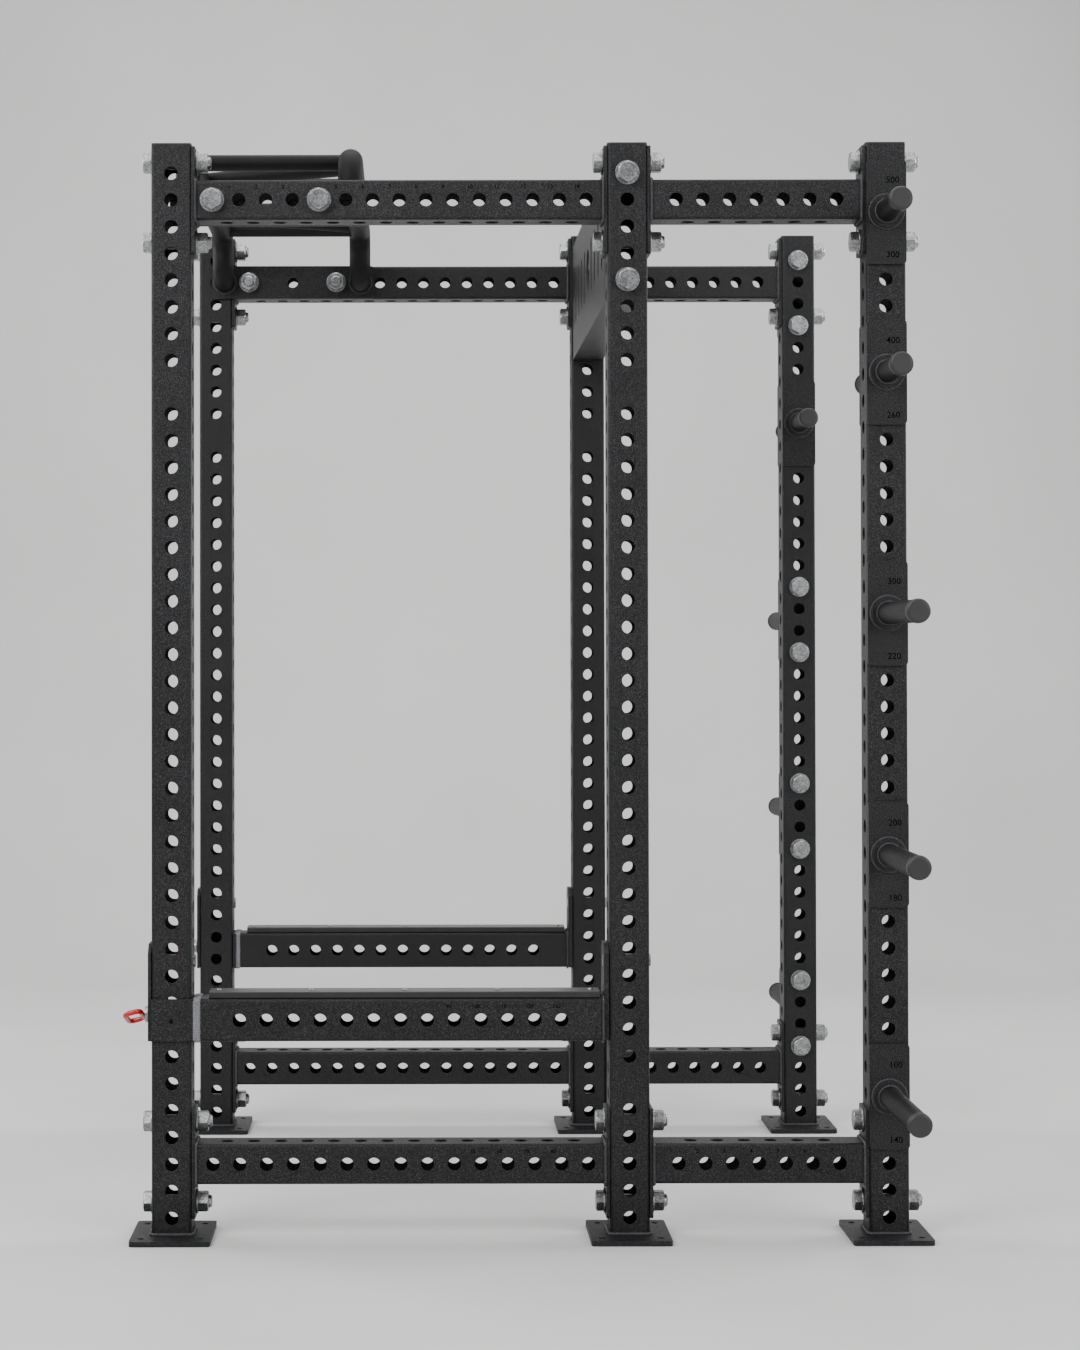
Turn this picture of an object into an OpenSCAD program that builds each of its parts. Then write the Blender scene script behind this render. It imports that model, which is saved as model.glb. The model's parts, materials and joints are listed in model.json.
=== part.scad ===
// Power cage: six perforated uprights, bolted side beams, pull-up bar,
// sign-plate crossmember, storage pegs and two flip-up safety arms.
// Millimetres. X across the cage, Y from front (-) to rear (+), Z up.

/* [Main] */
// Hole pitch on uprights and beams
pitch = 50.8; // [50.8:0.1:51]
// Clear width inside the cage
inside_w = 1092.2; // [1060:1:1130]
// Outer rack depth, front upright to middle upright (centres)
front_bay = 867; // [866:0.1:868]
// Rear bay depth, middle upright to rear upright (centres)
rear_bay = 491; // [486:1:500]
// Peg length of the lower three storage pegs
long_peg = 320; // [280:1:340]
// Peg length of the upper storage pegs
short_peg = 165; // [140:1:200]

/* [Hidden] */
$fn = 40;
T = 76.2;          // square tube
TR = 6;            // outer corner radius
TW = 3.05;         // wall
H = T / 2;
HR = 12.5;         // hole radius
BR = 12;           // bolt radius
FT = 9.5;          // foot plate
FP = 6.35;         // flange and bracket plates
Z0 = 41.3;         // lowest side-face hole
NH = 40;           // holes per face
TOP = 2077.5;      // upright's top
PX = inside_w / 2 + H;     // upright centre, X
handle_out = 92.1;         // front-most point ahead of the front upright's centre
foot_y = 152.4;
foot_x = 190.5;
yf = -(handle_out + front_bay + rear_bay + foot_y / 2) / 2 + handle_out;
ym = yf + front_bay;
yr = ym + rear_bay;
function zk(k) = Z0 + pitch * k;
z_top = zk(38);            // beam centrelines
z_bot = zk(2);
bolt_up = 1.5 * pitch;     // flange bolts above and below a beam's centreline
flange_h = 2 * bolt_up + 54;
yb = (yf + ym) / 2;        // middle of the front bay's beams
yq = (ym + yr) / 2;
LF = front_bay - T - 2 * FP;
LR = rear_bay - T - 2 * FP;
WS = 3.2;                  // washer
HH = 15;                   // bolt head
NT = 20;                   // nut
AF = 36;                   // across flats

// ---- helpers
module side(s) { if (s > 0) children(); else mirror([1, 0, 0]) children(); }
module rsq(a, b, r) {
  square([a - 2 * r, b], center = true);
  square([a, b - 2 * r], center = true);
  for (i = [-1, 1], j = [-1, 1]) translate([i * (a / 2 - r), j * (b / 2 - r)]) circle(r = r);
}
module tube2(a, b) { difference() { rsq(a, b, TR); rsq(a - 2 * TW, b - 2 * TW, TR - TW); } }
module xcyl(r, x0, x1) translate([x0, 0, 0]) rotate([0, 90, 0]) cylinder(r = r, h = x1 - x0);
module ycyl(r, y0, y1) translate([0, y0, 0]) rotate([-90, 0, 0]) cylinder(r = r, h = y1 - y0);
module hexp(af, h) cylinder(d = af / cos(30), h = h, $fn = 6);

// ---- uprights
module upright(s, y, skip = []) translate([s * PX, y, 0]) difference() {
  translate([0, 0, FT]) linear_extrude(TOP - FT) tube2(T, T);
  for (k = [0 : NH - 1]) {
    if (len(search(k, skip)) == 0) translate([0, 0, zk(k)]) xcyl(HR, -H - 1, H + 1);
    translate([0, 0, zk(k) + pitch / 2]) ycyl(HR, -H - 1, H + 1);
  }
}
module upright_front_right() { color("#2a2a2c") upright(1, yf, [31]); }
module upright_front_left() { color("#2a2a2c") upright(-1, yf, [31]); }
module upright_mid_right() { color("#2e2e31") upright(1, ym, [31, 5]); }
module upright_mid_left() { color("#2e2e31") upright(-1, ym, [31, 5]); }
module upright_rear_right() { color("#2a2a2c") upright(1, yr); }
module upright_rear_left() { color("#2a2a2c") upright(-1, yr); }

module cap_one() translate([0, 0, TOP]) {
  linear_extrude(2.5) rsq(T, T, TR);
  translate([0, 0, -12]) linear_extrude(12) difference() { rsq(T - 2 * TW - 0.4, T - 2 * TW - 0.4, 3); rsq(T - 2 * TW - 6, T - 2 * TW - 6, 1.5); }
}
module upright_caps() { color("#1c1c1d") for (s = [-1, 1], y = [yf, ym, yr]) translate([s * PX, y, 0]) difference() {
  cap_one();
  // room for the top flange bolt's shank
  translate([0, 0, zk(39) + pitch / 2]) ycyl(BR + 1.5, -H, H);
} }

// ---- feet
fhx = 67.3; fhy = 55.5;
module foot(s, y) translate([s * PX, y, 0]) difference() {
  linear_extrude(FT) rsq(foot_x, foot_y, 7);
  for (i = [-1, 1], j = [-1, 1]) translate([i * fhx, j * fhy, -1]) cylinder(r = 6.5, h = FT + 2);
}
module foot_front_right() { color("#232325") foot(1, yf); }
module foot_front_left() { color("#232325") foot(-1, yf); }
module foot_mid_right() { color("#232325") foot(1, ym); }
module foot_mid_left() { color("#232325") foot(-1, ym); }
module foot_rear_right() { color("#232325") foot(1, yr); }
module foot_rear_left() { color("#232325") foot(-1, yr); }

// ---- side beams: n holes on the side faces, n - 1 on the top and bottom faces
module beam(s, yc, z, L, n) translate([s * PX, yc, z]) difference() {
  translate([0, -L / 2, 0]) rotate([-90, 0, 0]) linear_extrude(L) tube2(T, T);
  for (i = [0 : n - 1]) translate([0, (i - (n - 1) / 2) * pitch, 0]) xcyl(HR, -H - 1, H + 1);
  for (i = [0 : n - 2]) translate([0, (i - (n - 2) / 2) * pitch, -H - 1]) cylinder(r = HR, h = T + 2);
}
module beam_top_front_right() { color("#303033") beam(1, yb, z_top, LF, 15); }
module beam_top_front_left() { color("#303033") beam(-1, yb, z_top, LF, 15); }
module beam_bottom_front_right() { color("#303033") beam(1, yb, z_bot, LF, 15); }
module beam_bottom_front_left() { color("#303033") beam(-1, yb, z_bot, LF, 15); }
module beam_top_rear_right() { color("#343437") beam(1, yq, z_top, LR, 7); }
module beam_top_rear_left() { color("#343437") beam(-1, yq, z_top, LR, 7); }
module beam_bottom_rear_right() { color("#343437") beam(1, yq, z_bot, LR, 7); }
module beam_bottom_rear_left() { color("#343437") beam(-1, yq, z_bot, LR, 7); }

// flange plates: y of each plate's outer (upright) face and its direction
flange_at = [[yf + H, 1], [ym - H, -1], [ym + H, 1], [yr - H, -1]];
module flange(z) rotate([-90, 0, 0]) difference() {
  linear_extrude(FP) rsq(T, flange_h, 5);
  for (j = [-1, 1]) translate([0, j * bolt_up, -1]) cylinder(r = HR, h = FP + 2);
}
module flanges(s, z) for (f = flange_at) translate([s * PX, f[1] > 0 ? f[0] : f[0] - FP, z]) flange();
module flange_plates_top_right() { color("#3a3a3d") flanges(1, z_top); }
module flange_plates_top_left() { color("#3a3a3d") flanges(-1, z_top); }
module flange_plates_bottom_right() { color("#3a3a3d") flanges(1, z_bot); }
module flange_plates_bottom_left() { color("#3a3a3d") flanges(-1, z_bot); }

// ---- fasteners, drawn along +Z from the clamped face at z = 0
module washer() difference() { cylinder(r = 23, h = WS); translate([0, 0, -1]) cylinder(r = BR + 0.3, h = WS + 2); }
module head() intersection() {
  translate([0, 0, WS]) hexp(AF, HH);
  union() { translate([0, 0, WS - 1]) cylinder(r = AF / 2 + 4, h = HH - 2); translate([0, 0, WS + HH - 3]) cylinder(r1 = AF / 2 + 4, r2 = AF / 2 - 1, h = 3, $fn = 48); }
}
module nut() difference() {
  intersection() {
    translate([0, 0, WS]) hexp(AF, NT);
    union() { translate([0, 0, WS - 1]) cylinder(r = AF / 2 + 4, h = NT - 2); translate([0, 0, WS + NT - 3]) cylinder(r1 = AF / 2 + 4, r2 = AF / 2 - 1, h = 3, $fn = 48); }
  }
  translate([0, 0, -1]) cylinder(r = BR + 0.02, h = NT + WS + 2);
}
// bolt whose head clamps at z = 0 and whose grip runs to z = -g, then past the nut
module bolt(g, past) {
  head();
  translate([0, 0, -g - past]) cylinder(r = BR, h = g + past + WS + 0.2);
  translate([0, 0, -g - past - 2.5]) cylinder(r1 = BR - 2.5, r2 = BR, h = 2.5, $fn = 48);
}
past_nut = WS + NT + 4;
flange_z = [z_top - bolt_up, z_top + bolt_up, z_bot - bolt_up, z_bot + bolt_up];
// per upright: [y of the head's face, direction of the head, grip]
flange_bolt = [[yf - H, -1, T + FP], [ym - H - FP, -1, T + 2 * FP], [yr - H - FP, -1, T + FP]];
module at_flange(s, nut_side) for (b = flange_bolt, z = flange_z)
  translate([s * PX, nut_side ? b[0] + b[2] : b[0], z]) rotate([nut_side ? -90 : 90, 0, 0]) children();
module flange_bolts(s) for (b = flange_bolt, z = flange_z)
  translate([s * PX, b[0], z]) rotate([90, 0, 0]) bolt(b[2], past_nut);
module flange_bolts_right() { color("#b9bbbd") flange_bolts(1); }
module flange_bolts_left() { color("#b9bbbd") flange_bolts(-1); }
module flange_nuts_right() { color("#a8aaad") at_flange(1, true) nut(); }
module flange_nuts_left() { color("#a8aaad") at_flange(-1, true) nut(); }
module flange_washers() { color("#cdcfd1") for (s = [-1, 1], n = [false, true]) at_flange(s, n) washer(); }

// ---- pull-up bar
yp = yb - 5 * pitch;       // bracket's centre, over the third beam hole
bar_dy = 158;              // main tubes, ahead of and behind it
bar_r = 24.1;
bar_rise = 105;
bend = 47;
bar_out = inside_w / 2 - FP;      // bracket's inner face
bar_leg = bar_out - 6 - bend;     // the riser's centreline
bar_z = z_top + bar_rise;
grip_r = 16;
module pullup_brackets() { color("#38383b") for (s = [-1, 1]) side(s) translate([bar_out, yp, z_top]) difference() {
  rotate([0, 90, 0]) linear_extrude(FP) rsq(T, 377, 8);
  for (i = [-1, 0, 1]) translate([0, i * 2 * pitch, 0]) xcyl(HR, -1, FP + 1);
} }
module bar_half() {
  translate([bar_leg + bend, 0, z_top]) xcyl(bar_r, 0, bar_out - bar_leg - bend);
  translate([bar_leg + bend, 0, z_top + bend]) rotate([90, 0, 0]) rotate([0, 0, 180]) rotate_extrude(angle = 90) translate([bend, 0]) circle(r = bar_r);
  translate([bar_leg, 0, z_top + bend]) cylinder(r = bar_r, h = bar_rise - 2 * bend);
  translate([bar_leg - bend, 0, bar_z - bend]) rotate([90, 0, 0]) rotate_extrude(angle = 90) translate([bend, 0]) circle(r = bar_r);
  translate([0, 0, bar_z]) xcyl(bar_r, 0, bar_leg - bend);
}
module bar() { bar_half(); mirror([1, 0, 0]) bar_half(); }
module pullup_tubes() { color("#2b2b2d") for (j = [-1, 1]) translate([0, yp + j * bar_dy, 0]) bar(); }
// grips between the two main tubes, from (x0 at the front) to (x1 at the rear)
module grip(x0, x1) difference() {
  translate([x0, yp - bar_dy, bar_z]) rotate([-90, 0, atan2(x0 - x1, 2 * bar_dy)]) cylinder(r = grip_r, h = sqrt(pow(x1 - x0, 2) + pow(2 * bar_dy, 2)));
  for (j = [-1, 1]) translate([0, yp + j * bar_dy, bar_z]) xcyl(bar_r, -500, 500);
}
module pullup_grips_straight() { color("#222224") for (s = [-1, 1]) { grip(s * 425, s * 425); grip(s * 155, s * 155); } }
module pullup_grips_angled() { color("#222224") for (s = [-1, 1]) grip(s * 215, s * 375); }

// ---- crossmember with a cut sign plate, between the middle uprights
cz = zk(37);
ch = 262;
cw = inside_w / 2 - FP;
ct = 4.8;
cd = 70;
cy0 = ym - cd / 2;
module crossmember() { color("#3d3d40") difference() {
  union() {
    translate([-cw, cy0, cz - ch / 2]) cube([2 * cw, ct, ch]);
    for (z = [cz - ch / 2, cz + ch / 2 - ct]) translate([-cw, cy0 + ct - 0.01, z]) cube([2 * cw, cd - ct + 0.01, ct]);
  }
  // plain cut-outs, rounded slots either side of a round one
  for (i = [-4 : 4]) translate([i * 105, cy0 - 1, cz]) rotate([-90, 0, 0]) linear_extrude(ct + 2) {
    if (i == 0) circle(r = 48);
    else { square([30, 84], center = true); for (j = [-1, 1]) translate([0, j * 42]) circle(r = 15); }
  }
} }
module crossmember_end_plates() { color("#37373a") for (s = [-1, 1]) side(s) translate([cw, ym, cz]) difference() {
  rotate([0, 90, 0]) linear_extrude(FP) rsq(2 * 2 * pitch + 58, T, 5);
  for (j = [-2, -1, 0, 2]) translate([0, 0, j * pitch]) xcyl(HR, -1, FP + 1);
} }

// ---- storage pegs on the rear uprights
peg_k = [37.5, 31.5, 22.5, 13.5, 4.5];
peg_r = 21;
peg_face = PX + H;
plate_h = 200;
function peg_len(k) = k > 25 ? short_peg : long_peg;
module peg_plate() rotate([0, 90, 0]) difference() {
  union() { linear_extrude(FP) rsq(plate_h, T, 9); translate([0, 0, FP - 0.01]) cylinder(r = 31.5, h = 10.01); }
  for (j = [-1, 1]) translate([j * 1.5 * pitch, 0, -1]) cylinder(r = BR + 0.02, h = FP - 0.6);
}
module plates_on(s) side(s) {
  for (k = peg_k) translate([peg_face, yr, zk(k)]) peg_plate();
  translate([peg_face - T, yr, zk(31.5)]) mirror([1, 0, 0]) peg_plate();
}
module peg_rod(L) xcyl(peg_r, FP + 10, L - 14);
module peg_cap(L) translate([L - 14, 0, 0]) rotate([0, 90, 0]) rotate_extrude() {
  square([22.3, 8]); square([16.3, 14]); translate([16.3, 8]) circle(r = 6);
}
module storage_plates_right() { color("#3b3b3e") plates_on(1); }
module storage_plates_left() { color("#3b3b3e") plates_on(-1); }
module pegs_on(s) side(s) {
  for (k = peg_k) translate([peg_face, yr, zk(k)]) peg_rod(peg_len(k));
  translate([peg_face - T, yr, zk(31.5)]) mirror([1, 0, 0]) peg_rod(short_peg);
}
module storage_pegs_right() { color("#28282a") pegs_on(1); }
module storage_pegs_left() { color("#28282a") pegs_on(-1); }
module storage_caps() { color("#1f1f20") for (s = [-1, 1]) side(s) {
  for (k = peg_k) translate([peg_face, yr, zk(k)]) peg_cap(peg_len(k));
  translate([peg_face - T, yr, zk(31.5)]) mirror([1, 0, 0]) peg_cap(short_peg);
} }

// ---- bolts of the accessories: heads face +X on the right side
module at_cross(n) for (s = [-1, 1], j = [-2, 2]) side(s) translate([n ? cw : PX + H, ym, cz + j * pitch]) rotate([0, n ? -90 : 90, 0]) children();
module at_bar(n) for (s = [-1, 1], j = [-2, 2]) side(s) translate([n ? bar_out : PX + H, yp + j * pitch, z_top]) rotate([0, n ? -90 : 90, 0]) children();
module at_peg() for (s = [-1, 1], k = peg_k, j = [-1.5, 1.5]) if (k != 31.5) side(s) translate([PX - H, yr, zk(k + j)]) rotate([0, -90, 0]) children();
module accessory_bolts() { color("#b9bbbd") {
  at_cross(false) bolt(T + FP, past_nut);
  at_bar(false) bolt(T + FP, past_nut);
  at_peg() { head(); translate([0, 0, -T - FP + 1.6]) cylinder(r = BR, h = T + FP + WS - 1.1); }
  // studs that thread into both plates of the paired pegs
  for (s = [-1, 1], j = [-1.5, 1.5]) side(s) translate([0, yr, zk(31.5 + j)]) xcyl(BR, PX - H - FP + 1.6, PX + H + FP - 1.6);
} }
module accessory_nuts() { color("#a8aaad") { at_cross(true) nut(); at_bar(true) nut(); } }
module accessory_washers() { color("#cdcfd1") { for (n = [false, true]) { at_cross(n) washer(); at_bar(n) washer(); } at_peg() washer(); } }

// ---- flip-up safety arms (right side drawn, left side mirrored)
z_lock = zk(7) + pitch / 2;      // lock pin's hole
z_piv = zk(9) + pitch / 2;       // pivot pegs' holes
arm_z = z_lock - 6.3;            // arm's centreline
arm_h = 80;
gap = 0.5;
col_t = 6.35;
arm_x = PX + H + gap + col_t - H;    // arm flush with the collar's outer face
arm_y0 = yf + H + gap + col_t;
rear_t = 9.5;
arm_y1 = ym - H - gap - rear_t;
tall = 183;
arm_lo = arm_z - arm_h / 2;
front_y = yf - H - gap;              // inner face of the front plate
lock_r = 10;
module arm_tube() difference() {
  translate([arm_x, arm_y0, arm_z]) rotate([-90, 0, 0]) linear_extrude(arm_y1 - arm_y0) tube2(T, arm_h);
  for (i = [1 : 13]) translate([arm_x, yb + (i - 7) * pitch, arm_z]) xcyl(HR, -H - 1, H + 1);
}
module arm_collar() translate([PX + H + gap, front_y, arm_lo]) difference() {
  cube([col_t, arm_y0 - front_y, arm_h]);
  translate([0, H + gap, arm_h / 2 - 2]) xcyl(4, -1, col_t + 1);
}
module tall_plate(t) difference() {
  linear_extrude(t) polygon([[-H, 0], [H + gap, 0], [H + gap, tall - 16], [H + gap - 16, tall], [-H + 16, tall], [-H, tall - 16]]);
  children();
}
module arm_plates() {
  // front plate ahead of the front upright
  translate([PX, front_y, arm_lo]) rotate([90, 0, 0]) tall_plate(col_t) {
    translate([0, z_piv - arm_lo, -1]) cylinder(r = BR, h = col_t + 2);
    translate([0, z_lock - arm_lo, -1]) cylinder(r = lock_r + 0.05, h = col_t + 2);
  }
  // return plate behind the front upright, where the arm is welded
  translate([PX - H, yf + H + gap, arm_lo]) cube([T + gap, col_t, arm_h]);
  // rear plate ahead of the middle upright
  translate([PX, arm_y1 + rear_t, arm_lo]) rotate([90, 0, 0]) tall_plate(rear_t) {
    translate([0, z_piv - arm_lo, -1]) cylinder(r = BR, h = rear_t + 2);
  }
}
module arm_pegs() {
  translate([PX, 0, z_piv]) {
    ycyl(BR, front_y - col_t, yf + H + 5);
    ycyl(BR, arm_y1, ym + H + 5);
  }
}
module arm_liner() translate([arm_x, arm_y0 + 26, arm_z + arm_h / 2]) rotate([-90, 0, 0]) linear_extrude(arm_y1 - arm_y0 - 34) translate([0, -6.5]) rsq(62, 13, 3);
module lock_pin() translate([PX, 0, z_lock]) {
  ycyl(lock_r, front_y - col_t - 8, front_y + gap);
  translate([0, front_y + gap, 0]) rotate([-90, 0, 0]) cylinder(r1 = lock_r, r2 = lock_r / 2, h = 2, $fn = 48);
  ycyl(15, front_y - col_t - 8, front_y - col_t - 0.3);
}
// closed loop of rod, a rounded rectangle that starts at the pin's shoulder
hr = 5;
hc = 11;
hw = 60;
droop = 15;
hl = (handle_out - H - gap - col_t - 8 - 2 * hr) / cos(droop);
module loop_q() {
  translate([hw / 2 - hr - hc, hl - hc, 0]) rotate_extrude(angle = 90) translate([hc, 0]) circle(r = hr);
  translate([hw / 2 - hr, hc, 0]) ycyl(hr, 0, hl - 2 * hc);
  translate([hw / 2 - hr - hc, hc, 0]) rotate([0, 0, -90]) rotate_extrude(angle = 90) translate([hc, 0]) circle(r = hr);
  translate([0, hl, 0]) xcyl(hr, 0, hw / 2 - hr - hc);
  xcyl(hr, 0, hw / 2 - hr - hc);
}
module lock_handle() translate([PX, front_y - col_t - 8 - hr - 1.2, z_lock]) rotate([180 + droop, 0, 0]) rotate([0, 24, 0]) { loop_q(); mirror([1, 0, 0]) loop_q(); }

module safety_arm_right() { color("#2c2c2f") arm_tube(); }
module safety_arm_left() { color("#2c2c2f") side(-1) arm_tube(); }
module safety_collar_right() { color("#38383b") arm_collar(); }
module safety_collar_left() { color("#38383b") side(-1) arm_collar(); }
module safety_plates_right() { color("#404043") arm_plates(); }
module safety_plates_left() { color("#404043") side(-1) arm_plates(); }
module safety_pegs_right() { color("#555558") arm_pegs(); }
module safety_pegs_left() { color("#555558") side(-1) arm_pegs(); }
module safety_liner_right() { color("#151516") arm_liner(); }
module safety_liner_left() { color("#151516") side(-1) arm_liner(); }
module lock_pin_right() { color("#9a9c9f") lock_pin(); }
module lock_pin_left() { color("#9a9c9f") side(-1) lock_pin(); }
module lock_handle_right() { color("#d0161c") lock_handle(); }
module lock_handle_left() { color("#d0161c") side(-1) lock_handle(); }

upright_front_right();
upright_front_left();
upright_mid_right();
upright_mid_left();
upright_rear_right();
upright_rear_left();
upright_caps();
foot_front_right();
foot_front_left();
foot_mid_right();
foot_mid_left();
foot_rear_right();
foot_rear_left();
beam_top_front_right();
beam_top_front_left();
beam_bottom_front_right();
beam_bottom_front_left();
beam_top_rear_right();
beam_top_rear_left();
beam_bottom_rear_right();
beam_bottom_rear_left();
flange_plates_top_right();
flange_plates_top_left();
flange_plates_bottom_right();
flange_plates_bottom_left();
flange_bolts_right();
flange_bolts_left();
flange_nuts_right();
flange_nuts_left();
flange_washers();
pullup_brackets();
pullup_tubes();
pullup_grips_straight();
pullup_grips_angled();
crossmember();
crossmember_end_plates();
storage_plates_right();
storage_plates_left();
storage_pegs_right();
storage_pegs_left();
storage_caps();
accessory_bolts();
accessory_nuts();
accessory_washers();
safety_arm_right();
safety_arm_left();
safety_collar_right();
safety_collar_left();
safety_plates_right();
safety_plates_left();
safety_pegs_right();
safety_pegs_left();
safety_liner_right();
safety_liner_left();
lock_pin_right();
lock_pin_left();
lock_handle_right();
lock_handle_left();
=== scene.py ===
"""Power cage: materials, weld beads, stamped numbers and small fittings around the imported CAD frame."""

import json
import math
import random

import bmesh
import bpy
from mathutils import Matrix, Vector


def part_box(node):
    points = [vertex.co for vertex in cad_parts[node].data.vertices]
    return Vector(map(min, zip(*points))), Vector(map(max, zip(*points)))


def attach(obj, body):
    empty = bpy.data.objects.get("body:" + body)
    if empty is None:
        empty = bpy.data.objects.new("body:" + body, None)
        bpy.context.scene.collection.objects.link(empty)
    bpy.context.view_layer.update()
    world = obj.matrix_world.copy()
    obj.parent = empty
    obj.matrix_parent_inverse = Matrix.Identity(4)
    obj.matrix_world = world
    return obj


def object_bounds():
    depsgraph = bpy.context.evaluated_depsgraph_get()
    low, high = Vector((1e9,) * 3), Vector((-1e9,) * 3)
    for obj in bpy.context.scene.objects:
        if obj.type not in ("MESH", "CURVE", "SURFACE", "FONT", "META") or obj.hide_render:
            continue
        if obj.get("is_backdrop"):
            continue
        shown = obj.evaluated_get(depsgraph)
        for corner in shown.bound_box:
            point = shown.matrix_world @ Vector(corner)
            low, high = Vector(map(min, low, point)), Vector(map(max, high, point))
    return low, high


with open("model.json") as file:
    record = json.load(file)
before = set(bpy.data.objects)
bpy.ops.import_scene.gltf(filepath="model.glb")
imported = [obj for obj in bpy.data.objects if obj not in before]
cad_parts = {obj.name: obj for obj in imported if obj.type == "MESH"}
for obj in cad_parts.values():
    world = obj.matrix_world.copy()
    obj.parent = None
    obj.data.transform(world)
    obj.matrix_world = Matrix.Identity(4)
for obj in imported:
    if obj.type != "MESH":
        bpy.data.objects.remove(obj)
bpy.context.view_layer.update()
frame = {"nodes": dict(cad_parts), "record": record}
NODES = frame["nodes"]
random.seed(7)

MM = 0.001
TUBE = 76.2 * MM                # square tube, outside
CORNER = 6 * MM                 # its corner radius
PITCH = 50.8 * MM               # between attachment holes
FIRST_HOLE_Z = 41.3 * MM        # height of hole place 0 on the uprights
PEG_PLACES = (37.5, 31.5, 22.5, 13.5, 4.5)      # storage pegs, in hole places
INNER_PEG_PLACE = 31.5          # the one peg that points into the cage
PEG_PLATE = 6.35 * MM
PEG_COLLAR_R, PEG_COLLAR = 31.5 * MM, 10 * MM
PEG_R = 21 * MM
PULLUP_TUBE_R = 24.1 * MM
STEP = 1 * MM                   # between the rings of a weld bead
SKIN = 0.03 * MM                # numerals stand this far off a face
MID_HOLE = 7                    # the hole place at the middle of a front beam


# ---------------------------------------------------------------- materials
class Graph:
    """A small helper that builds one node-based material."""

    def __init__(self, name):
        self.mat = bpy.data.materials.new(name)
        self.mat.use_nodes = True
        self.nt = self.mat.node_tree
        self.bsdf = self.nt.nodes["Principled BSDF"]
        self.coord = self.node("ShaderNodeTexCoord").outputs["Object"]

    def node(self, kind, **props):
        n = self.nt.nodes.new(kind)
        for key, value in props.items():
            setattr(n, key, value)
        return n

    def link(self, a, b):
        self.nt.links.new(a, b)

    def noise(self, scale, detail=2.0, rough=0.5, stretch=None):
        n = self.node("ShaderNodeTexNoise")
        n.inputs["Scale"].default_value = scale
        n.inputs["Detail"].default_value = detail
        n.inputs["Roughness"].default_value = rough
        if stretch:
            m = self.node("ShaderNodeMapping")
            m.inputs["Scale"].default_value = stretch
            self.link(self.coord, m.inputs["Vector"])
            self.link(m.outputs["Vector"], n.inputs["Vector"])
        else:
            self.link(self.coord, n.inputs["Vector"])
        return n.outputs["Fac"]

    def cells(self, scale):
        n = self.node("ShaderNodeTexVoronoi")
        n.inputs["Scale"].default_value = scale
        self.link(self.coord, n.inputs["Vector"])
        return n

    def ramp(self, fac, stops):
        r = self.node("ShaderNodeValToRGB")
        el = r.color_ramp.elements
        while len(el) < len(stops):
            el.new(0.5)
        for e, (pos, col) in zip(el, stops):
            e.position = pos
            e.color = (*col, 1) if len(col) == 3 else col
        self.link(fac, r.inputs["Fac"])
        return r.outputs["Color"]

    def span(self, fac, lo, hi, a, b):
        m = self.node("ShaderNodeMapRange")
        for key, value in (("From Min", lo), ("From Max", hi), ("To Min", a), ("To Max", b)):
            m.inputs[key].default_value = value
        self.link(fac, m.inputs["Value"])
        return m.outputs["Result"]

    def bump(self, height, strength, distance, under=None):
        b = self.node("ShaderNodeBump")
        b.inputs["Strength"].default_value = strength
        b.inputs["Distance"].default_value = distance
        self.link(height, b.inputs["Height"])
        if under:
            self.link(under, b.inputs["Normal"])
        return b.outputs["Normal"]

    def multiply(self, a, b):
        m = self.node("ShaderNodeMix", data_type="RGBA", blend_type="MULTIPLY")
        m.inputs[0].default_value = 1.0
        self.link(a, m.inputs[6])
        self.link(b, m.inputs[7])
        return m.outputs[2]

    def out(self, color=None, rough=None, normal=None, **plain):
        if color:
            self.link(color, self.bsdf.inputs["Base Color"])
        if rough:
            self.link(rough, self.bsdf.inputs["Roughness"])
        if normal:
            self.link(normal, self.bsdf.inputs["Normal"])
        for key, value in plain.items():
            self.bsdf.inputs[key.replace("_", " ")].default_value = value
        return self.mat


def powder(name, dark, light, grain, strength, rough, gloss=0.3):
    """Powder coat: fine bumps, tiny brighter specks and a slow change of shade."""
    g = Graph(name)
    fine = g.noise(grain, 3.0, 0.6)
    slow = g.noise(7.0, 3.0)
    speck = g.noise(grain * 0.7, 2.0, 0.7)
    base = g.ramp(speck, [(0.42, dark), (0.53, tuple(c * 1.8 for c in dark)), (0.66, light)])
    shade = g.ramp(slow, [(0.3, (0.80, 0.80, 0.81)), (0.7, (1.15, 1.15, 1.15))])
    r = g.span(speck, 0.35, 0.7, rough + 0.12, rough - 0.14)
    coarse = g.bump(speck, strength, 0.0012)
    n = g.bump(fine, strength, 0.0005, coarse)
    return g.out(g.multiply(base, shade), r, n, Specular_IOR_Level=gloss)


def zinc(name):
    """Zinc plate: small crystal patches, a little grime and fine grain."""
    g = Graph(name)
    flakes = g.cells(420.0)
    grain = g.noise(1500.0, 2.0)
    slow = g.noise(60.0, 2.0)
    col = g.ramp(flakes.outputs["Color"],
                 [(0.15, (0.20, 0.205, 0.21)), (0.5, (0.33, 0.335, 0.34)), (0.9, (0.50, 0.505, 0.51))])
    dirt = g.ramp(slow, [(0.3, (0.72, 0.72, 0.72)), (0.62, (1.0, 1.0, 1.0))])
    r = g.span(grain, 0.3, 0.7, 0.26, 0.44)
    n = g.bump(grain, 0.3, 0.0004)
    return g.out(g.multiply(col, dirt), r, n, Metallic=1.0)


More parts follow.
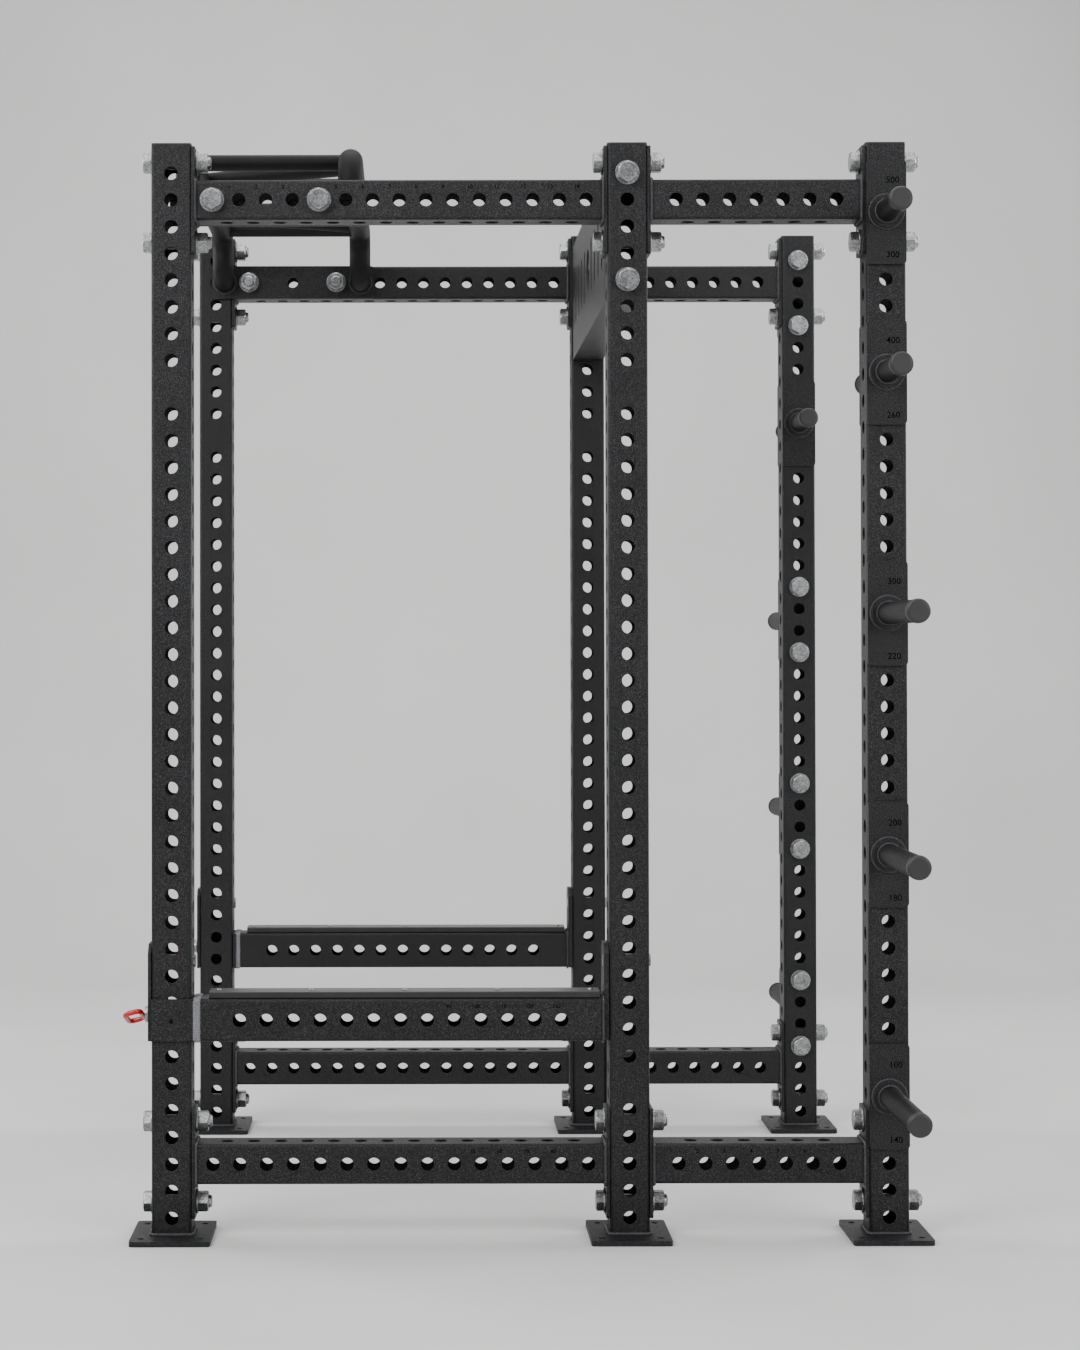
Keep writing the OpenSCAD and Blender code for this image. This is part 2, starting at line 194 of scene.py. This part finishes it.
def plastic(name, dark, rough, grain=900.0):
    """Moulded black plastic with a slight texture."""
    g = Graph(name)
    fine = g.noise(grain, 2.0)
    slow = g.noise(25.0, 3.0)
    col = g.ramp(slow, [(0.3, dark), (0.7, tuple(c * 1.4 for c in dark))])
    r = g.span(fine, 0.3, 0.7, rough - 0.06, rough + 0.06)
    n = g.bump(fine, 0.12, 0.0003)
    return g.out(col, r, n)


def red_coat(name):
    """Glossy red dip with a slight orange peel."""
    g = Graph(name)
    slow = g.noise(140.0, 2.0)
    col = g.ramp(slow, [(0.3, (0.40, 0.003, 0.004)), (0.7, (0.52, 0.006, 0.007))])
    peel = g.noise(500.0, 2.0)
    r = g.span(peel, 0.3, 0.7, 0.2, 0.3)
    n = g.bump(peel, 0.08, 0.0004)
    return g.out(col, r, n, Coat_Weight=0.25, Coat_Roughness=0.12, Specular_IOR_Level=0.4)


def floor_mat():
    g = Graph("pale_floor")
    slow = g.noise(1.2, 4.0)
    fine = g.noise(60.0, 4.0)
    col = g.ramp(slow, [(0.25, (0.60, 0.60, 0.59)), (0.75, (0.66, 0.66, 0.65))])
    r = g.span(fine, 0.3, 0.7, 0.5, 0.65)
    n = g.bump(fine, 0.05, 0.001)
    return g.out(col, r, n)


BLACK = powder("powder_black_coat", (0.003, 0.003, 0.0034), (0.062, 0.062, 0.066),
               grain=850.0, strength=0.7, rough=0.44, gloss=0.24)
FINE = powder("powder_black_fine_coat", (0.003, 0.003, 0.0034), (0.018, 0.018, 0.020),
              grain=1300.0, strength=0.40, rough=0.50, gloss=0.16)
# Weld beads: the same black powder coat, painted lighter as a painted highlight on their ripples
WELD = powder("powder_on_weld_painted_highlight", (0.020, 0.020, 0.022), (0.10, 0.10, 0.105),
              grain=1000.0, strength=0.5, rough=0.34)
SEAM = powder("bright_seam", (0.10, 0.10, 0.11), (0.42, 0.42, 0.44),
              grain=1200.0, strength=0.6, rough=0.34)
ZINC = zinc("zinc_plate")
CAPS = plastic("black_plastic", (0.014, 0.014, 0.015), 0.48)
LINER = plastic("liner_plastic", (0.012, 0.012, 0.013), 0.36)
RED = red_coat("red_gloss_coat")
MARK = plastic("etched_mark", (0.0008, 0.0008, 0.0008), 0.9)
MARK.node_tree.nodes["Principled BSDF"].inputs["Specular IOR Level"].default_value = 0.02

BY_SLOT = {"powder_black": BLACK, "powder_black_fine": FINE, "plastic_black": CAPS,
           "zinc_steel": ZINC, "red_gloss": RED}
for part in frame["record"]["subparts"]:
    node = NODES[part["node"]]
    mat = BY_SLOT[part["material_slot"]]
    if "liner" in part["node"]:
        mat = LINER
    node.data.materials.clear()
    node.data.materials.append(mat)

# Small rounded edges on the cut steel, in mm, so that holes and plate edges catch the light.
EDGE_WIDTH = {
    "flange_plates": 0.9, "foot_": 1.2, "crossmember": 0.9, "pullup_brackets": 0.9,
    "storage_plates": 1.0, "safety_plates": 0.9, "safety_collar": 1.4,
    "upright_": 0.7, "beam_": 0.7, "safety_arm": 0.7,
    "flange_bolts": 0.5, "flange_nuts": 0.5, "flange_washers": 0.4, "accessory_": 0.5, "lock_pin": 0.5,
}
for name, node in NODES.items():
    for start, width in EDGE_WIDTH.items():
        if name.startswith(start) and name != "upright_caps":
            weld = node.modifiers.new("join", "WELD")
            weld.merge_threshold = 0.00001
            bev = node.modifiers.new("edge", "BEVEL")
            bev.width = width * MM
            bev.segments = 2
            bev.limit_method = "ANGLE"
            bev.angle_limit = math.radians(38)
            bev.use_clamp_overlap = True
            bev.harden_normals = True
            break


# ---------------------------------------------------------------- geometry helpers
def piece(name, bm, mat, body, smooth=True):
    """Turn a bmesh into an object that rides on a body of the frame."""
    mesh = bpy.data.meshes.new(name)
    bmesh.ops.recalc_face_normals(bm, faces=bm.faces)
    bm.to_mesh(mesh)
    bm.free()
    mesh.materials.append(mat)
    if smooth:
        for p in mesh.polygons:
            p.use_smooth = True
    obj = bpy.data.objects.new(name, mesh)
    bpy.context.scene.collection.objects.link(obj)
    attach(obj, body)
    return obj


def rounded_path(a, b, r, step):
    """Points and outward directions round a rounded rectangle a by b, in its own plane."""
    pts = []
    corners = [(a / 2 - r, b / 2 - r, 0), (-a / 2 + r, b / 2 - r, 90),
               (-a / 2 + r, -b / 2 + r, 180), (a / 2 - r, -b / 2 + r, 270)]
    for i, (cx, cy, start) in enumerate(corners):
        n = max(3, int(r * math.pi / 2 / step))
        for j in range(n + 1):
            t = math.radians(start + 90 * j / n)
            d = Vector((math.cos(t), math.sin(t)))
            pts.append((Vector((cx, cy)) + d * r, d))
        nx, ny, ns = corners[(i + 1) % 4]
        t = math.radians(ns)
        d = Vector((math.cos(t), math.sin(t)))
        p0, p1 = pts[-1][0], Vector((nx, ny)) + d * r
        m = max(1, int((p1 - p0).length / step))
        for j in range(1, m):
            pts.append((p0.lerp(p1, j / m), d))
    return pts


def circle_path(radius, count):
    """Points and outward directions round a circle."""
    turns = (2 * math.pi * j / count for j in range(count))
    ways = [Vector((math.cos(t), math.sin(t))) for t in turns]
    return [(d * radius, d) for d in ways]


def close_rings(bm, rings):
    """Join each ring of vertices to the next, and the last to the first."""
    for i, a in enumerate(rings):
        b = rings[(i + 1) % len(rings)]
        for k in range(len(a)):
            k2 = (k + 1) % len(a)
            bm.faces.new((a[k], a[k2], b[k2], b[k]))


def seam(bm, path, place, half, proud, ripple=3.6 * MM, sides=10):
    """A closed weld seam across a joint: it spans half a width each way along the height axis."""
    run, rings = 0.0, []
    for i, (p, d) in enumerate(path):
        if i:
            run += (p - path[i - 1][0]).length
        phase = (run / ripple) % 1.0
        wide = half * (0.86 + 0.14 * math.sin(math.pi * phase) + 0.05 * random.uniform(-1, 1))
        high = proud * (0.45 + 0.55 * math.sin(math.pi * phase))
        ring = []
        for k in range(sides + 1):
            t = math.pi * k / sides
            ring.append(bm.verts.new(place(p + d * high * math.sin(t), wide * math.cos(t))))
        ring.append(bm.verts.new(place(p - d * 0.8 * MM, 0.0)))
        rings.append(ring)
    close_rings(bm, rings)


def bead(bm, path, place, size, ripple=4.2 * MM, sides=8):
    """A closed weld bead: a low ring of overlapping ripples in the corner that the path follows.
    path gives (point, outward direction) in a plane, place maps (plane point, height) to the frame."""
    run, rings = 0.0, []
    for i, (p, d) in enumerate(path):
        if i:
            run += (p - path[i - 1][0]).length
        phase = (run / ripple) % 1.0
        s = size * (0.80 + 0.24 * math.sin(math.pi * phase) + 0.05 * random.uniform(-1, 1))
        ring = []
        for k in range(sides + 1):
            t = math.pi / 2 * k / sides
            out, up = s * math.cos(t), s * math.sin(t)
            crown = 0.86 + 0.14 * math.sin(2 * t)
            ring.append(bm.verts.new(place(p + d * out * crown, up * crown)))
        ring.append(bm.verts.new(place(p - d * 0.4 * MM, -0.3 * MM)))
        rings.append(ring)
    close_rings(bm, rings)


def side_name(s):
    return "right" if s > 0 else "left"


# ---------------------------------------------------------------- weld beads
SQUARE = rounded_path(TUBE, TUBE, CORNER, STEP)
for s in (1, -1):
    for level in ("top", "bottom"):
        bm = bmesh.new()
        for bay in ("front", "rear"):
            lo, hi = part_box(f"beam_{level}_{bay}_{side_name(s)}")
            cx, cz = (lo.x + hi.x) / 2, (lo.z + hi.z) / 2
            for y, way in ((lo.y, 1), (hi.y, -1)):
                bead(bm, SQUARE, lambda p, h: Vector((cx + p.x, y + way * h, cz + p.y)), 5.2 * MM)
        piece(f"weld_beams_{level}_{side_name(s)}", bm, WELD, "rack")
    bm = bmesh.new()
    for row in ("front", "mid", "rear"):
        lo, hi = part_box(f"foot_{row}_{side_name(s)}")
        c = (lo + hi) / 2
        bead(bm, SQUARE, lambda p, h: Vector((c.x + p.x, c.y + p.y, hi.z + h)), 5.5 * MM)
    piece(f"weld_feet_{side_name(s)}", bm, WELD, "rack")

    # storage pegs: a bead where each collar meets its plate and where the peg leaves the collar
    up_lo, up_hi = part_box(f"upright_rear_{side_name(s)}")
    cy = (up_lo.y + up_hi.y) / 2
    face = up_hi.x if s > 0 else up_lo.x
    inner = up_lo.x if s > 0 else up_hi.x
    bm = bmesh.new()
    outs = [(face, s, k) for k in PEG_PLACES] + [(inner, -s, INNER_PEG_PLACE)]
    for x0, way, k in outs:
        joins = ((PEG_COLLAR_R, PEG_PLATE, 4.0 * MM), (PEG_R, PEG_PLATE + PEG_COLLAR, 3.6 * MM))
        for radius, height, size in joins:
            circle = circle_path(radius, int(2 * math.pi * radius / STEP))
            z = FIRST_HOLE_Z + PITCH * k
            bead(bm, circle, lambda p, h: Vector((x0 + way * (height + h), cy + p.x, z + p.y)), size)
    piece(f"weld_pegs_{side_name(s)}", bm, WELD, "rack")

    # pull-up tubes at their brackets
    blo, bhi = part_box("pullup_brackets")
    tlo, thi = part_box("pullup_tubes")
    cz = (blo.z + bhi.z) / 2
    bm = bmesh.new()
    circle = circle_path(PULLUP_TUBE_R, 150)
    for ty in (tlo.y + PULLUP_TUBE_R, thi.y - PULLUP_TUBE_R):
        bead(bm, circle, lambda p, h: Vector((s * (thi.x - h), ty + p.x, cz + p.y)), 4.4 * MM)
    piece(f"weld_pullup_{side_name(s)}", bm, WELD, "rack")

    # safety arm: a bead round the tube's rear end and a bright seam round its front end
    alo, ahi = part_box(f"safety_arm_{side_name(s)}")
    ac = (alo + ahi) / 2
    loop = rounded_path(ahi.x - alo.x, ahi.z - alo.z, CORNER, STEP)
    bm = bmesh.new()
    bead(bm, loop, lambda p, h: Vector((ac.x + p.x, ahi.y - h, ac.z + p.y)), 4.6 * MM)
    piece(f"weld_arm_{side_name(s)}", bm, WELD, f"arm_{side_name(s)}")
    bm = bmesh.new()
    seam(bm, loop, lambda p, h: Vector((ac.x + p.x, alo.y + 3.0 * MM + h, ac.z + p.y)),
         half=7.5 * MM, proud=2.6 * MM)
    piece(f"seam_arm_{side_name(s)}", bm, SEAM, f"arm_{side_name(s)}")


# ---------------------------------------------------------------- stamped numbers (plain numerals)
def numeral(text, height):
    """The mesh of a short number in the default font, centred on its own origin."""
    curve = bpy.data.curves.new("numeral", "FONT")
    curve.body = text
    curve.size = height
    curve.align_x = "CENTER"
    curve.align_y = "CENTER"
    curve.extrude = 0.06 * MM
    curve.offset = 0.10 * MM
    curve.resolution_u = 3
    tmp = bpy.data.objects.new("numeral", curve)
    bpy.context.scene.collection.objects.link(tmp)
    bpy.context.view_layer.update()
    mesh = bpy.data.meshes.new_from_object(tmp.evaluated_get(bpy.context.evaluated_depsgraph_get()))
    bpy.data.objects.remove(tmp)
    bpy.data.curves.remove(curve)
    return mesh


def add_numbers(bm, items, s, x):
    """items are (text, height, y, z) on the plane x, read from outside on side s."""
    for text, height, y, z in items:
        mesh = numeral(text, height)
        turn = Matrix(((0, 0, s, x), (s, 0, 0, y), (0, 1, 0, z), (0, 0, 0, 1)))
        mesh.transform(turn)
        bm.from_mesh(mesh)
        bpy.data.meshes.remove(mesh)


for s in (1, -1):
    items = []
    tl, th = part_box(f"beam_top_front_{side_name(s)}")
    bl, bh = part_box(f"beam_bottom_front_{side_name(s)}")
    x_face = th.x if s > 0 else tl.x
    mid_y, top_z, low_z = (tl.y + th.y) / 2, (tl.z + th.z) / 2, (bl.z + bh.z) / 2
    for i in range(1, 15):
        if i != 4:
            items.append((str(i), 11 * MM, mid_y + (i - MID_HOLE) * PITCH - 18 * MM, top_z + 24 * MM))
    for i in range(10, 14):
        items.append((str(i * 10 - 50), 10 * MM, mid_y + (i - MID_HOLE) * PITCH - 16 * MM, low_z + 24 * MM))
    rl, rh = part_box(f"beam_bottom_rear_{side_name(s)}")
    for i in range(7):
        items.append((str(i + 1), 10 * MM, (rl.y + rh.y) / 2 + (i - 3) * PITCH - 16 * MM, low_z + 24 * MM))
    bm = bmesh.new()
    add_numbers(bm, items, s, x_face + s * SKIN)
    ul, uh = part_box(f"upright_rear_{side_name(s)}")
    plate_x = (uh.x if s > 0 else ul.x) + s * (PEG_PLATE + SKIN)
    marks = []
    for n, k in enumerate(PEG_PLACES):
        z = FIRST_HOLE_Z + PITCH * k
        marks.append((str(100 * (5 - n)), 17 * MM, (ul.y + uh.y) / 2 + 12 * MM, z + 60 * MM))
        marks.append((str(300 - 40 * n), 17 * MM, (ul.y + uh.y) / 2 + 12 * MM, z - 82 * MM))
    add_numbers(bm, marks, s, plate_x)
    piece(f"beam_numbers_{side_name(s)}", bm, MARK, "rack", smooth=False)

    al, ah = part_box(f"safety_arm_{side_name(s)}")
    bm = bmesh.new()
    arm_face = ah.x if s > 0 else al.x
    arm_items = [(str(i * 10), 10 * MM, mid_y + (i - MID_HOLE) * PITCH - 10 * MM, (al.z + ah.z) / 2 + 26 * MM)
                 for i in range(9, 14)]
    add_numbers(bm, arm_items, s, arm_face + s * SKIN)
    piece(f"arm_numbers_{side_name(s)}", bm, MARK, f"arm_{side_name(s)}", smooth=False)


# ---------------------------------------------------------------- liner screws
def button_screw(bm, centre, radius, height):
    """A low domed head with a hexagon socket, its axis along +Z."""
    sides = 24
    turns = [2 * math.pi * j / sides for j in range(sides)]

    def vert(r, t, z):
        return bm.verts.new(centre + Vector((radius * r * math.cos(t), radius * r * math.sin(t), height * z)))

    def hexagon(t):
        return 0.42 * math.cos(math.pi / 6) / math.cos((t % (math.pi / 3)) - math.pi / 6)

    dome = ((1.0, 0.0), (1.0, 0.35), (0.92, 0.68), (0.74, 0.92), (0.5, 1.0))
    rings = [[vert(r, t, z) for t in turns] for r, z in dome]
    rings += [[vert(hexagon(t), t, z) for t in turns] for z in (1.0, 0.3)]
    for a, b in zip(rings, rings[1:]):
        for j in range(sides):
            bm.faces.new((a[j], a[(j + 1) % sides], b[(j + 1) % sides], b[j]))
    bm.faces.new(rings[-1])
    bm.faces.new(rings[0])


for s in (1, -1):
    lo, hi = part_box(f"safety_liner_{side_name(s)}")
    bm = bmesh.new()
    for j in range(5):
        y = lo.y + 16 * MM + (hi.y - lo.y - 32 * MM) * j / 4
        button_screw(bm, Vector(((lo.x + hi.x) / 2, y, hi.z - 0.4 * MM)), 5 * MM, 3 * MM)
    piece(f"liner_screws_{side_name(s)}", bm, ZINC, f"arm_{side_name(s)}")


# ---------------------------------------------------------------- stage, light, camera
bm = bmesh.new()
FLOOR, WALL, SWEEP = 9.0, 5.0, 1.5      # half the floor's width, the wall's top, the sweep's radius
NEAR, FAR = 6.5, -3.2                   # where the flat floor starts and ends along X
BELOW = 0.6 * MM                        # the floor lies just under the feet
profile = [(NEAR, 0.0), (FAR, 0.0)]
for j in range(1, 13):
    t = math.pi / 2 * j / 12
    profile.append((FAR - SWEEP * math.sin(t), SWEEP * (1 - math.cos(t))))
profile.append((FAR - SWEEP, WALL))
rows = [[bm.verts.new((x, y, z - BELOW)) for x, z in profile] for y in (-FLOOR, FLOOR)]
for j in range(len(profile) - 1):
    bm.faces.new((rows[0][j], rows[0][j + 1], rows[1][j + 1], rows[1][j]))
mesh = bpy.data.meshes.new("studio_floor")
bm.to_mesh(mesh)
bm.free()
mesh.materials.append(floor_mat())
for p in mesh.polygons:
    p.use_smooth = True
floor = bpy.data.objects.new("studio_floor", mesh)
bpy.context.scene.collection.objects.link(floor)
floor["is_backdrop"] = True


def area(name, place, aim, size, size_y, power):
    """A white rectangular light at a place, aimed at a point."""
    light = bpy.data.lights.new(name, "AREA")
    light.shape = "RECTANGLE"
    light.size, light.size_y, light.energy = size, size_y, power
    obj = bpy.data.objects.new(name, light)
    obj.location = place
    obj.rotation_euler = (Vector(aim) - Vector(place)).to_track_quat("-Z", "Y").to_euler()
    bpy.context.scene.collection.objects.link(obj)


area("key", (4.2, -3.2, 4.2), (0, 0, 1.1), 2.6, 2.6, 260)
area("fill", (4.5, 3.4, 2.4), (0, 0, 1.0), 2.4, 2.4, 120)
area("top", (0.0, 0.0, 5.0), (0, 0, 0), 4.5, 4.5, 170)
area("rim_front", (-1.6, -4.0, 2.6), (0, 0, 1.1), 1.6, 2.6, 110)
area("rim_rear", (-1.6, 4.0, 2.6), (0, 0, 1.1), 1.6, 2.6, 110)
world = bpy.data.worlds.new("studio")
bpy.context.scene.world = world
world.use_nodes = True
world.node_tree.nodes["Background"].inputs["Color"].default_value = (0.80, 0.81, 0.83, 1)
world.node_tree.nodes["Background"].inputs["Strength"].default_value = 0.5

# The view of the right side, almost square on, from about the height of the cage's middle.
SENSOR_MM, LENS_MM = 36.0, 72.06667     # the sensor's height and the focal length
SHIFT_X, SHIFT_Y = 0.0937037, -0.0439259    # of the picture's height
YAW, PITCH_UP, ROLL = -0.0004, 0.0119, -0.0017
CAMERA_X, CAMERA_Z = 5.7468, 1.1199
CAMERA_FORWARD = 0.4097                 # in front of the middle uprights
ul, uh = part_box("upright_mid_right")
mid_y = (ul.y + uh.y) / 2
cam = bpy.data.cameras.new("camera")
cam.sensor_fit = "VERTICAL"
cam.sensor_height = SENSOR_MM
cam.lens = LENS_MM
cam.shift_x, cam.shift_y = SHIFT_X, SHIFT_Y
cam.clip_end = 60
facing = Matrix(((0, 0, 1), (1, 0, 0), (0, 1, 0)))      # the camera looks along -X, with +Z up
look = (Matrix.Rotation(YAW, 3, "Z") @ facing
        @ Matrix.Rotation(PITCH_UP, 3, "X") @ Matrix.Rotation(ROLL, 3, "Z"))
camera = bpy.data.objects.new("camera", cam)
camera.matrix_world = Matrix.Translation(Vector((CAMERA_X, mid_y - CAMERA_FORWARD, CAMERA_Z))) @ look.to_4x4()
bpy.context.scene.collection.objects.link(camera)
bpy.context.scene.camera = camera

lo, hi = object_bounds()
